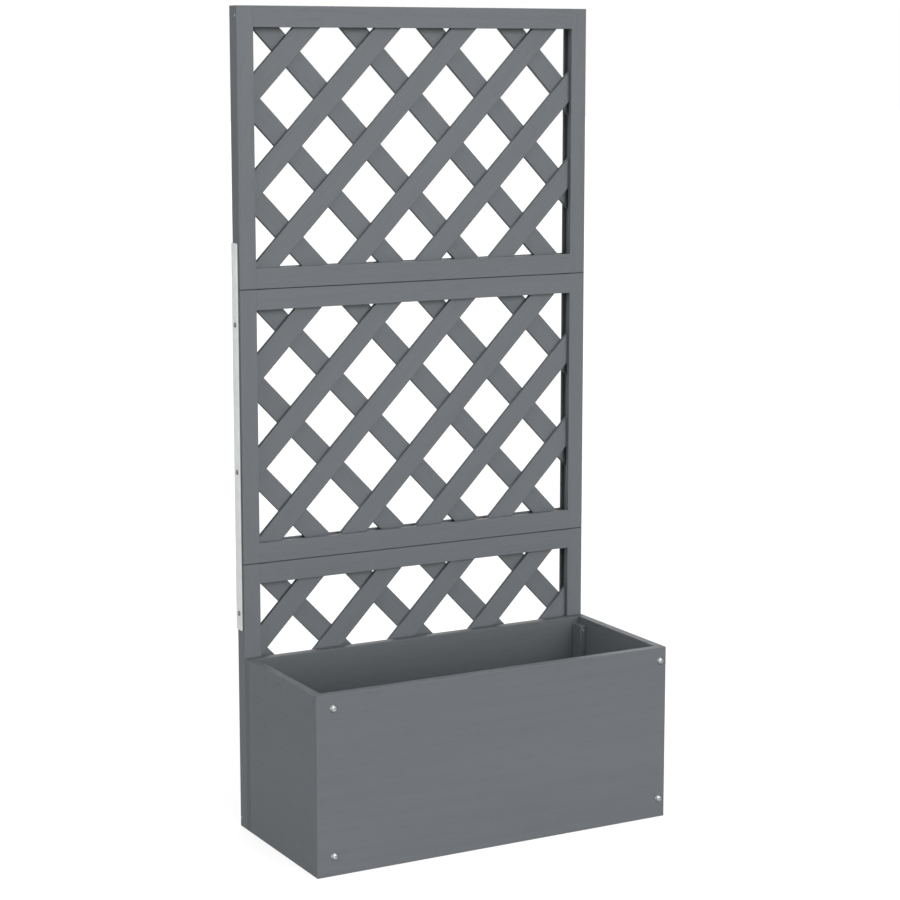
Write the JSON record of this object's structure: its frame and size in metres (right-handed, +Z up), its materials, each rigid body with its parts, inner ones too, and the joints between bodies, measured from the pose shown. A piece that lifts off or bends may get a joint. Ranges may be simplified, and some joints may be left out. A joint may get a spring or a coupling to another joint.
{
  "type": "planter with trellis",
  "caption": "Rectangular wooden planter trough with a tall lattice trellis of stacked framed panels behind it, for climbing plants.",
  "frame": {"origin": "on the ground, under the middle of the whole planter's bounding box", "axes": "+Z up; +Y from the trough's front to the rear of the trellis; +X to the right, seen from the front"},
  "size_m": [0.6814, 0.3116, 1.4001],
  "materials": {
    "frame_wood": "matt cool-grey paint over planed fir, grain showing faintly",
    "lattice_wood": "matt cool-grey paint over planed fir, grain showing faintly",
    "trough_wood": "matt cool-grey paint over planed fir, grain showing faintly",
    "inner_wood": "matt cool-grey paint over planed fir, grain showing faintly",
    "dowel_wood": "bare beech",
    "strip_steel": "zinc-plated, satin",
    "screw_steel": "bright zinc"
  },
  "bodies": {
    "root": {"back_board": "trough_wood", "batten_screws": "screw_steel", "cleat_screws": "screw_steel", "floor_board_1": "inner_wood", "floor_board_2": "inner_wood", "floor_board_3": "inner_wood", "floor_board_4": "inner_wood", "floor_board_5": "inner_wood", "floor_board_6": "inner_wood", "floor_board_7": "inner_wood", "floor_nails": "screw_steel", "frame_screws": "screw_steel", "front_board": "trough_wood", "front_bolt_nuts": "screw_steel", "front_bolt_washers": "screw_steel", "front_bolts": "screw_steel", "front_cleat": "inner_wood", "front_end_screws": "screw_steel", "front_left_batten": "inner_wood", "front_right_batten": "inner_wood", "left_joining_strip": "strip_steel", "left_side_board": "trough_wood", "lower_bottom_rail": "frame_wood", "lower_front_slats": "lattice_wood", "lower_left_stile": "frame_wood", "lower_rear_slats": "lattice_wood", "lower_right_stile": "frame_wood", "lower_top_rail": "frame_wood", "middle_bottom_rail": "frame_wood", "middle_front_slats": "lattice_wood", "middle_left_stile": "frame_wood", "middle_rear_slats": "lattice_wood", "middle_right_stile": "frame_wood", "middle_top_rail": "frame_wood", "panel_dowels": "dowel_wood", "rear_cleat": "inner_wood", "rear_left_batten": "inner_wood", "rear_right_batten": "inner_wood", "right_joining_strip": "strip_steel", "right_side_board": "trough_wood", "strip_screws": "screw_steel", "trellis_screws": "screw_steel", "upper_bottom_rail": "frame_wood", "upper_front_slats": "lattice_wood", "upper_left_stile": "frame_wood", "upper_rear_slats": "lattice_wood", "upper_right_stile": "frame_wood", "upper_top_rail": "frame_wood"}
  },
  "joints": []
}
